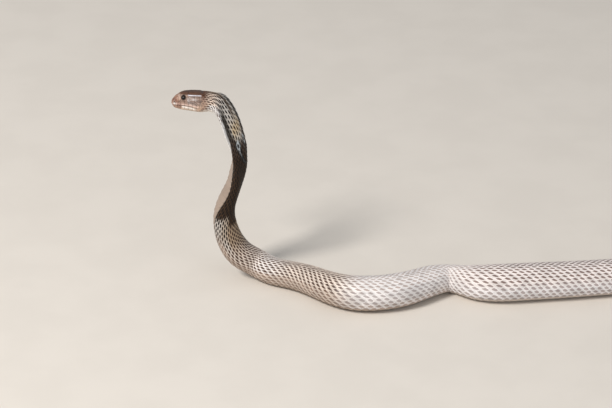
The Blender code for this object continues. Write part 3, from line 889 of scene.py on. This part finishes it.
def scale_pieces(pieces, material):
    """The small scales, each a plate whose narrow end lies over the root of the next."""
    roots = scale_roots()
    rng = np.random.default_rng(SEED)
    size = 1 + rng.uniform(-0.05, 0.05, len(roots))
    draws = rng.uniform(0.0, 1.0, len(roots))
    u = np.array((0.0, 0.2, 0.45, 0.7, 0.88, 1.0))[None, :, None]
    v = np.array((-1.0, -0.72, -0.38, 0.0, 0.38, 0.72, 1.0))[None, None, :]
    shape = np.array((0.50, 0.80, 1.0, 0.93, 0.72, 0.36))[None, :, None]
    for name, start, end, slot in pieces:
        chosen = (roots[:, 0] >= start) & (roots[:, 0] < end)
        place, line = roots[chosen].T
        root, row = place[:, None, None], line[:, None, None]
        open_skin = on_hood(root)
        length = SCALE_OVERLAP - HOOD_SHORTER * open_skin
        length = length * pitch(root) * size[chosen][:, None, None]
        s = root + (u - 0.10 * v**2 * smooth(0.6, 1.0, u)) * length
        s = np.minimum(s, surface.s[-1] - TIP_GAP)
        spacing = row_place(row + 0.5, s) - row_place(row - 0.5, s)
        middle = row_place(row, s)
        lean = scale_slant(row, root) * (u - 0.5) * length / surface.at(s, surface.side_length)
        wide = SCALE_WIDTH - HOOD_NARROWER * open_skin
        a = middle + lean + v * shape * wide * spacing
        coat = surface.depth(s)
        crown = (1 - v**2) * 0.20 - 0.10 * np.abs(v) ** 4
        top = coat * (0.06 + 0.74 * u + crown * (0.5 + 0.5 * shape))
        bottom = top - coat * (0.34 + 0.1 * (1 - u))
        dark, pale = back_colours(s, a)
        under = smooth(0.96, 1.04, np.abs(a))
        dark = mix(dark, belly_colour(s, a) * 0.92, under)
        pale = mix(pale, belly_colour(s, a), under)
        middles = row_place(line, place)
        low = smooth(0.50, 0.72, np.abs(middles))
        rear = smooth(320.0, 370.0, place)
        slim = smooth(215.0, 270.0, place) * (1 - low)
        hood = on_hood(place)
        fore = smooth(66.0, 90.0, place) * (1 - smooth(140.0, 152.0, place))
        check = smooth(146.0, 152.0, place) * (1 - smooth(176.0, 196.0, place))
        along = 0.38 + 0.16 * hood + 0.06 * fore + 0.05 * slim * (1 - rear)
        along -= 0.06 * rear + 0.04 * low * rear + 0.03 * check
        across = 0.52 + 0.36 * hood + 0.20 * fore - 0.10 * rear * (1 - low)
        turn = smooth(215.0, 300.0, place) * (0.45 - 0.35 * low) - 0.3 * check
        spots = np.stack([along, across, np.sign(middles) * turn], axis=-1)
        half = 0.48 / (np.abs(middles).max() + 0.05)
        cell = strip_cells(
            place, start, end, (2.0, 6.0), 0.5 + half * middles, 0.92 * pitch(place),
            0.98 * half * spacing[:, 0, 0],
        )
        plate_piece(
            name, material, s, a, top, bottom, u, v, dark, pale, spots, draws[chosen], cell
        )


def scute_pieces(pieces, material):
    """Belly scutes, each right across the belly, overlapping toward the tail."""
    rng = np.random.default_rng(SEED + 1)
    v = np.linspace(-1.0, 1.0, 21)[None, None, :]
    for name, start, end, slot in pieces:
        count = round((end - start) / SCUTE_PITCH)
        step = (end - start) / count
        places = start + step * np.arange(count)
        length = SCUTE_OVERLAP * step
        s = places[:, None, None] + (SCUTE_U - SCUTE_ROOT) * length + 0 * v
        s = np.clip(s, -15.0, surface.s[-1] - TIP_GAP)
        s = s - 0.5 * length * smooth(0.8, 1.0, np.abs(v)) * (SCUTE_U - 0.5)
        a = 2.0 + (2.0 - SCUTE_END) * v + 0 * s
        coat = surface.depth(s)
        ends = smooth(0.84, 1.0, np.abs(v))
        top = coat * ((0.10 + 0.80 * SCUTE_U) * (1 - 0.45 * ends) - 0.15 * ends)
        colour = belly_colour(s, a)
        edge = mix(colour, colour * 0.62, np.zeros(s.shape) + smooth(0.84, 0.98, SCUTE_U))
        spots = np.broadcast_to(np.array((0.52, 2.0, 0.0)), (count, 3))
        cell = strip_cells(places, start, end, (3.0, 3.0), 0.5, STRIP_SHARE * 0.96 * step, 0.9)
        plate_piece(
            name, material, s, a, top, top - SCUTE_THICKNESS * coat, SCUTE_U, v, colour,
            edge, spots, rng.uniform(0.3, 0.7, count), cell,
        )


def subcaudal_piece(name, start, end, material):
    """The paired scutes under the tail."""
    rng = np.random.default_rng(SEED + 2)
    v = np.linspace(-1.0, 1.0, 7)[None, None, :]
    count = 2 * TAIL_SCUTE_PAIRS
    share = np.arange(count) // 2 / TAIL_SCUTE_PAIRS
    side = np.where(np.arange(count) % 2, 1.0, -1.0)
    places = start + (end - start) * (1.25 * share - 0.25 * share**2)
    step = (end - start) * (1.25 - 0.5 * share) / TAIL_SCUTE_PAIRS
    root = (places + np.where(side > 0, 0.35 * step, 0.0))[:, None, None]
    length = SCUTE_OVERLAP * step[:, None, None]
    round_end = 1 - 0.28 * np.abs(v) ** 3 * (SCUTE_U - 0.3)
    s = root + (SCUTE_U - SCUTE_ROOT) * length * round_end
    s = np.clip(s, start - 3.0, surface.s[-1] - TIP_GAP)
    a = 2.0 + side[:, None, None] * (2.0 - SCUTE_END) * (0.5 + 0.505 * v) + 0 * s
    coat = surface.depth(s)
    top = coat * (0.10 + 0.80 * SCUTE_U - 0.3 * smooth(0.7, 1.0, np.abs(v)))
    bottom = top - SCUTE_THICKNESS * coat
    flip = side < 0
    for grid in (s, a, top, bottom):
        grid[flip] = grid[flip][:, :, ::-1]
    colour = belly_colour(s, a)
    spots = np.broadcast_to(np.array((0.52, 1.2, 0.0)), (count, 3))
    middle = 0.5 + 0.24 * side
    cell = strip_cells(places, start, end, (3.0, 3.0), middle, STRIP_SHARE * 0.95 * step, 0.44)
    plate_piece(
        name, material, s, a, top, bottom, SCUTE_U, v, colour, colour * 0.82, spots,
        rng.uniform(0.0, 1.0, count), cell,
    )


# The head's relief, in the head's own frame: x behind the snout, y to the left, z up

# The borders of its shields as seen from above (x, y), from the side (x, z) and from below.
BORDERS = {
    "top": (
        ((1.5, 0.0), (2.1, 1.6), (2.7, 3.2)),
        ((1.5, 0.0), (10.6, 0.0)),
        ((5.5, 0.0), (5.9, 2.4), (5.2, 4.6)),
        ((10.5, 0.0), (10.9, 2.9), (9.4, 5.0), (8.8, 6.6)),
        ((10.9, 2.9), (14.2, 2.9), (17.0, 2.5), (19.4, 0.0)),
        ((17.0, 2.5), (17.9, 4.4), (17.4, 6.6)),
        ((19.4, 0.0), (31.4, 0.0)),
        ((17.9, 4.4), (18.6, 7.0)),
        ((31.4, 0.0), (32.6, 2.6), (31.6, 5.4), (30.2, 7.6)),
    ),
    "side": (
        ((17.9, 6.4), (22.0, 6.6), (26.0, 6.9), (30.2, 7.2)),
        ((2.0, 1.0), (2.6, -1.2), (2.0, -3.2)),
        ((2.6, 1.8), (4.6, 3.0), (6.8, 4.4), (8.8, 6.0)),
        ((2.2, -2.8), (5.2, -2.0), (8.4, -1.2), (9.6, 1.6)),
        ((3.6, 1.6), (3.8, -0.6)),
        ((3.8, -2.6), (3.9, -3.6)),
        ((6.8, 4.2), (7.6, 1.6), (8.2, -1.2)),
        ((4.4, -2.2), (4.1, -5.1)),
        ((7.2, -1.5), (6.9, -5.0)),
        ((9.6, 1.6), (10.4, -4.8)),
        ((9.6, 1.6), (10.8, 2.0)),
        ((14.0, 0.9), (14.2, -4.6)),
        ((15.8, 2.4), (18.4, -1.0), (18.2, -4.8)),
        ((18.4, -1.0), (22.8, -0.4), (22.6, -5.3)),
        ((22.8, -0.4), (27.2, -1.6), (26.8, -6.2)),
        ((27.2, -1.6), (30.6, -3.4), (30.2, -6.8)),
        ((16.1, 4.4), (18.9, 3.9)),
        ((16.2, 3.1), (19.1, 1.8)),
        ((17.4, 6.2), (18.9, 3.9), (19.1, 1.8), (18.4, -1.0)),
        ((19.0, 2.6), (25.0, 2.9), (31.0, 2.4)),
        ((24.4, 6.7), (25.0, 2.9), (24.6, -0.9)),
        ((30.2, 7.2), (31.0, 2.4), (30.6, -3.4)),
        ((3.4, -5.2), (3.6, -7.6)),
        ((6.6, -5.0), (6.8, -8.3)),
        ((10.2, -4.8), (10.2, -8.7)),
        ((14.4, -4.7), (14.2, -9.0)),
        ((18.8, -4.9), (18.4, -9.2)),
        ((23.2, -5.4), (22.6, -9.5)),
        ((27.2, -6.2), (26.6, -9.9)),
    ),
    "under": (
        ((2.6, 2.0), (6.6, 4.2), (14.2, 6.0), (22.6, 8.0), (28.6, 9.2)),
        ((2.4, 0.0), (21.0, 0.0)),
        ((5.8, 0.0), (5.2, 1.8), (6.6, 4.2)),
        ((13.4, 0.0), (13.0, 2.6), (12.6, 5.7)),
        ((21.0, 0.0), (20.4, 2.4), (17.6, 3.6), (13.0, 2.6)),
    ),
}

def border(points, view):
    """A shield's border on the skin of the head's left half, as drawn in one of the views."""
    points = np.array(points, float)
    steps = np.linalg.norm(np.diff(points, axis=0), axis=1)
    lengths = np.concatenate([[0.0], np.cumsum(steps)])
    wanted = np.arange(0.0, lengths[-1], 0.12)
    x, other = [np.interp(wanted, lengths, column) for column in points.T]
    width, top, low, middle, square = head_sizes(x)
    if view == "side":
        reach = np.where(other > middle, top - middle, middle - low)
        share = np.clip(np.abs(other - middle) / reach, 0.0, 1.0)
        return np.stack([x, width * (1 - share**square) ** (1 / square), other], axis=-1)
    reach = top - middle if view == "top" else low - middle
    share = np.clip(np.abs(other) / width, 0.0, 1.0)
    return np.stack([x, other, middle + reach * (1 - share**square) ** (1 / square)], axis=-1)


def shield_borders():
    """The borders of the head's shields on the left half."""
    return np.concatenate([border(line, view) for view in BORDERS for line in BORDERS[view]])


def head_relief(x, y, z):
    """How far each skin point of the head moves out, and how near a shield's border it is."""
    here = np.stack([x, np.abs(y), z], axis=-1)
    borders = shield_borders()
    tree = KDTree(len(borders))
    for i, point in enumerate(borders):
        tree.insert(point, i)
    tree.balance()
    gap = np.array([tree.find(point)[2] for point in here])
    out = SHIELD_RISE * (1 - bump(gap, 0.0, 0.42))
    out *= 1 - smooth(30.0, 33.0, x)

    above = z - np.interp(x, *np.array(MOUTH).T)
    in_mouth = 1 - smooth(28.2, 30.4, x)
    out -= in_mouth * MOUTH_DEPTH * bump(above, 0.0, 0.30)
    out += in_mouth * 0.22 * bump(above, 0.9, 0.7)
    out -= in_mouth * 0.28 * (1 - smooth(-0.2, 0.0, above)) * smooth(-5.0, -1.5, above)

    eye = np.linalg.norm(here - EYE_PLACE, axis=-1)
    out -= SOCKET_DEPTH * (1 - smooth(2.5, 2.75, eye))
    out += 0.34 * bump(eye, 3.05, 0.32)
    brow = np.linalg.norm((here - BROW_PLACE) / BROW_REACH, axis=-1)
    out += BROW_RISE * bump(brow, 0.0, 1.0) * smooth(2.6, 3.0, eye)

    nostril = np.linalg.norm((here - NOSTRIL_PLACE) / NOSTRIL_REACH, axis=-1)
    out -= NOSTRIL_DEPTH * bump(nostril, 0.0, 0.55)
    out += 0.14 * bump(nostril, 1.15, 0.3)
    return out, gap, above, eye, nostril, in_mouth


def head_tone(x, y, z, gap, above, eye, nostril, in_mouth):
    """The head's colours by place."""
    on_top = smooth(6.8, 7.6, z - 0.03 * (x - 20))
    behind_eye = smooth(16.5, 19.0, x)
    # Painted highlight along the ridge behind the eye, where the head's top meets its side.
    ridge_highlight = bump(z - 0.03 * (x - 20), 7.0, 0.40) * behind_eye * (1 - smooth(30.0, 33.0, x))
    streak = 0.5 + 0.5 * np.sin(2.6 * z + 0.9 * x + 1.6 * np.sin(0.7 * x))
    lip = smooth(0.2, 0.5, above) * (1 - smooth(2.0, 3.2, above)) * in_mouth
    lower = 1 - smooth(-0.3, 0.1, above)
    fallen = above + 1.3 + 0.06 * (x - 12.0)
    white = bump(fallen, 0.0, 0.95) * in_mouth * smooth(10.5, 13.0, x) * (1 - smooth(26.0, 29.0, x))
    # Painted shade on the lower jaw's underside, below its white edge.
    painted_jaw_shade = smooth(11.0, 14.0, x) * (1 - smooth(-4.0, -2.8, fallen))
    tone = layers(
        CHEEK,
        (TOP_BROWN, on_top),
        (TOP_DARK, 0.7 * smooth(8.0, 9.4, z) * bump(np.abs(y), 0.0, 5.0)),
        (CHEEK_DARK, 0.75 * behind_eye * bump(z, 5.5, 0.8) * (1 - on_top)),
        (CHEEK_DARK, 0.7 * bump(z - 0.18 * (x - 22), 0.2, 1.3) * smooth(17.0, 20.0, x)),
        (CHEEK_PALE, 0.85 * bump(z, 3.2, 1.0) * bump(x, 24.0, 3.2)),
        (CHEEK_PALE, 0.75 * bump(z, 2.0, 2.2) * bump(x, 18.4, 1.3)),
        (CHEEK_PALE, 0.40 * streak**2 * behind_eye * bump(z, -1.6, 2.6)),
        (CHEEK_DARK, 0.45 * (1 - streak) ** 2 * behind_eye * bump(z, -1.0, 3.2)),
        (SNOUT, (1 - smooth(6.0, 11.0, x)) * (1 - smooth(4.0, 6.5, z))),
        (CHEEK_TAN, 0.75 * bump(x, 8.4, 2.2) * bump(z, 3.0, 2.8)),
        (SNOUT_RED, 0.7 * (1 - smooth(4.0, 9.0, x)) * bump(z, 0.4, 1.8)),
        (SNOUT_RED, 0.75 * bump(x, 8.6, 2.4) * (1 - smooth(-2.6, -1.2, z))),
        (CHEEK_DARK, 0.6 * bump(x, 13.6, 3.0) * bump(z, 0.4, 0.8)),
        (JAW_TAN, smooth(25.0, 31.0, x) * bump(z, -6.0, 3.6)),
        (PAINTED_RIDGE_HIGHLIGHT, 0.95 * ridge_highlight),
        (LIP_PINK, 0.8 * lip * smooth(1.5, 5.0, x)),
        (CHIN_TAN, lower * (1 - smooth(26.0, 32.0, x))),
        (SNOUT, 0.8 * lower * (1 - smooth(9.0, 13.0, x)) * smooth(-9.5, -8.0, z)),
        # Painted shade under the lower jaw.
        (CHEEK_DARK, 0.7 * lower * painted_jaw_shade),
        (LIP_WHITE, lower * white),
        (SNOUT_RED, 0.7 * bump(x, 8.4, 2.6) * bump(z, -4.4, 2.6)),
        (LIP_WHITE, 0.95 * bump(x, 3.4, 1.5) * bump(z, -3.4, 1.3)),
        (JAW_TAN, lower * smooth(24.0, 30.0, x) * smooth(-13.0, -9.0, z)),
    )
    dark = back_colours(x - SNOUT_TO_NECK, 0 * x)[0]
    tone = mix(tone, mix(dark, tone, 0.35), smooth(31.5, 33.5, x) * smooth(-9.0, -4.0, z))
    on_border = bump(gap, 0.0, 0.20) * (1 - smooth(31.0, 33.0, x))
    return layers(
        tone,
        (tone * 0.32, on_border * (1 - 0.5 * lower * white)),
        # Painted shade in the crease round the eye, in the mouth's groove and in the nostril's
        # hollow.
        (EYE_RIM_SHADE, bump(eye, 2.75, 0.40)),
        (MOUTH_SHADE, in_mouth * bump(above, 0.0, 0.36)),
        (NOSTRIL_SHADE, 1 - smooth(0.45, 0.85, nostril)),
    )


def skin_piece(material):
    """One skin from the snout to the tail's tip, with finer rings on the head."""
    fine = spans((-40.9, -38.0, 0.12), (-38.0, -8.0, 0.20), (-8.0, 0.0, 0.5))
    coarse = spans((0.0, 20.0, 1.0), (20.0, 330.0, 2.5), (330.0, surface.s[-1], 4.0))
    many, few = 312, 78

    s, a = np.meshgrid(fine, np.arange(many) / many * 4.0 - 2.0, indexing="ij")
    offsets = surface.between(s, a, surface.offsets)[0]
    x, y, z = (SNOUT_TO_NECK + s).ravel(), offsets[..., 0].ravel(), offsets[..., 1].ravel()
    out, *found = head_relief(x, y, z)
    head = surface.lifted(s, a, out.reshape(s.shape)).reshape(-1, 3)
    head_tones = head_tone(x, y, z, *found)

    s, a = np.meshgrid(coarse, np.arange(few) / few * 4.0 - 2.0, indexing="ij")
    sunk = 0.35 * np.maximum(smooth(1.0, 1.10, np.abs(a)), bump(s, 4.0, 4.0))
    body = surface.lifted(s, a, -sunk * surface.depth(s)).reshape(-1, 3)
    dark, pale = back_colours(s, a)
    tones = mix(pale, dark, 0.25 * (1 - on_hood(s)))
    tones = mix(tones, belly_colour(s, a) * 0.9, smooth(0.98, 1.06, np.abs(a)))

    nose = head[:many].mean(axis=0) - surface.head_axes[0] * 0.10
    tip = body[-few:].mean(axis=0)
    tip = tip + unit(tip - body[-2 * few : -few].mean(axis=0)) * 0.9
    points = np.concatenate([head, body, [nose, tip]])
    colours = np.concatenate([head_tones, tones.reshape(-1, 3)])
    colours = np.concatenate([colours, colours[[0, -1]]])

    rings = np.arange(len(head)).reshape(-1, many)
    body_rings = len(head) + np.arange(len(body)).reshape(-1, few)
    last, first = rings[-1].reshape(few, -1), body_rings[0]
    seam = [last[:, -1], np.roll(last[:, 0], -1), np.roll(first, -1), first]
    fans = [np.stack([last[:, k], last[:, k + 1], first], axis=-1) for k in range(many // few - 1)]
    faces = [
        quads_round(rings),
        quads_round(body_rings),
        np.stack(seam, axis=-1),
        np.concatenate(fans),
        cap(len(points) - 2, rings[0])[:, (0, 2, 1)],
        cap(len(points) - 1, body_rings[-1]),
    ]
    piece = new_mesh("skin", points, faces)
    colour_attribute(piece, "tone", colours)
    belong(piece, material)
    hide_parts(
        "head", "lower_jaw", "hood", "raised_forebody", "front_body_1", "front_body_2",
        "mid_body_1", "mid_body_2", "mid_body_3", "rear_body_1", "rear_body_2", "rear_body_3",
        "tail_base", "tail_tip",
    )


def eye_piece(name, side, node, material):
    """An eyeball with its pole outward, so that the pupil and iris are rings round it."""
    toward_tail, left, back = surface.head_axes
    x, y, z = EYE_PLACE
    centre = surface.head_origin + x * toward_tail + side * y * left + z * back
    outward = unit(side * left - 0.16 * toward_tail + 0.10 * back)
    across = unit(np.cross(outward, back))
    axes = np.array([outward, across, np.cross(across, outward)])
    rings, sides = 40, 56
    polar = np.linspace(0.0, np.pi, rings + 1)[1:-1]
    turn = np.arange(sides) / sides * 2 * np.pi
    p, t = np.meshgrid(polar, turn, indexing="ij")
    radius = EYE_RADIUS * (1 + 0.015 * bump(p, 0.0, 0.7)) - 0.03
    ball = np.stack([np.cos(p), np.sin(p) * np.cos(t), np.sin(p) * np.sin(t)], axis=-1) @ axes
    points = (centre + radius[..., None] * ball).reshape(-1, 3)
    poles = [centre + EYE_RADIUS * outward, centre - EYE_RADIUS * 0.98 * outward]
    points = np.concatenate([points, poles])
    index = np.arange(p.size).reshape(p.shape)
    faces = [
        quads_round(index)[:, (0, 3, 2, 1)],
        cap(p.size, index[0]),
        cap(p.size + 1, index[-1])[:, (0, 2, 1)],
    ]
    piece = new_mesh(name, points, faces)
    away = np.concatenate([p.ravel() / (np.pi / 2), [0.0], [2.0]])
    vector_attribute(piece, "eye", np.stack([away, away * 0, away * 0], axis=-1))
    belong(piece, material)
    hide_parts(node)


def toward(place, aim):
    """The turn that points a lamp or a camera from a place at its aim."""
    return (Vector(aim) - Vector(place)).to_track_quat("-Z", "Y").to_euler()


def stage_and_light():
    n = Nodes("floor")
    share = n.ramp(n.noise(14.0, 4.0), 0.35, 0.65)
    tint = n.mixed(share, (*srgb(216, 209, 200), 1.0), (*srgb(219, 212, 203), 1.0))
    data = bpy.data.meshes.new("floor")
    signs = (-1, -1), (1, -1), (1, 1), (-1, 1)
    corners = [(x * FLOOR_REACH, y * FLOOR_REACH, -FLOOR_DROP) for x, y in signs]
    data.from_pydata(corners, [], [(0, 1, 2, 3)])
    data.materials.append(n.finish({"Base Color": tint, "Roughness": 0.9}))
    floor = bpy.data.objects.new("floor", data)
    bpy.context.scene.collection.objects.link(floor)

    world = bpy.data.worlds.new("studio")
    world.use_nodes = True
    background = world.node_tree.nodes["Background"].inputs
    background["Color"].default_value = (0.93, 0.96, 1.0, 1.0)
    background["Strength"].default_value = 0.42
    bpy.context.scene.world = world
    for name, place, aim, energy, width, colour in (
        ("key", (-1.9, -1.5, 2.5), (-0.05, 0.05, 0.05), 105.0, 0.9, (1.0, 0.97, 0.93)),
        ("fill", (2.2, -2.4, 1.6), (0.05, 0.05, 0.05), 16.0, 2.0, (0.93, 0.96, 1.0)),
    ):
        lamp = bpy.data.lights.new(name, "AREA")
        lamp.energy = energy
        lamp.size = width
        lamp.color = colour
        made = bpy.data.objects.new(name, lamp)
        made.location = place
        made.rotation_euler = toward(place, aim)
        bpy.context.scene.collection.objects.link(made)


def camera():
    made = bpy.data.cameras.new("camera")
    made.lens = CAMERA_LENS
    made.sensor_width = SENSOR_WIDTH
    made.sensor_fit = "HORIZONTAL"
    made.clip_end = VIEW_END
    view = bpy.data.objects.new("camera", made)
    view.location = CAMERA_PLACE
    view.rotation_euler = toward(CAMERA_PLACE, CAMERA_AIM)
    bpy.context.scene.collection.objects.link(view)
    bpy.context.scene.camera = view
    bpy.context.scene.view_settings.view_transform = "Standard"


surface = Surface(Spine())
camera()
stage_and_light()
skin_piece(skin_material())
scales = scale_material("scales", 0.50, 0.22)
scutes = scale_material("scutes", 0.40, 0.35)
scale_pieces(
    (
        ("hood_scales", -21.0, HOOD_END, "hood"),
        ("forebody_scales", HOOD_END, FOREBODY_END, "forebody"),
        ("body_scales_1", FOREBODY_END, 380.0, "body"),
        ("body_scales_2", 380.0, 550.0, "body"),
        ("body_scales_3", 550.0, 720.0, "body"),
        ("body_scales_4", 720.0, 890.0, "body"),
        ("body_scales_5", 890.0, 1060.0, "body"),
        ("body_scales_6", 1060.0, VENT_PLACE, "body"),
        ("tail_scales", VENT_PLACE, 1460.0, "tail"),
    ),
    scales,
)
scute_pieces(
    (
        ("hood_scutes", FIRST_SCUTE, HOOD_END, "hood"),
        ("forebody_scutes", HOOD_END, FOREBODY_END, "forebody"),
        ("body_scutes_1", FOREBODY_END, 550.0, "body"),
        ("body_scutes_2", 550.0, 890.0, "body"),
        ("body_scutes_3", 890.0, VENT_PLACE, "body"),
    ),
    scutes,
)
subcaudal_piece("tail_scutes", VENT_PLACE, surface.s[-1] - 1.0, scutes)
eye = eye_material()
eye_piece("left_eyeball", 1.0, "eye_left", eye)
eye_piece("right_eyeball", -1.0, "eye_right", eye)

bpy.context.view_layer.update()
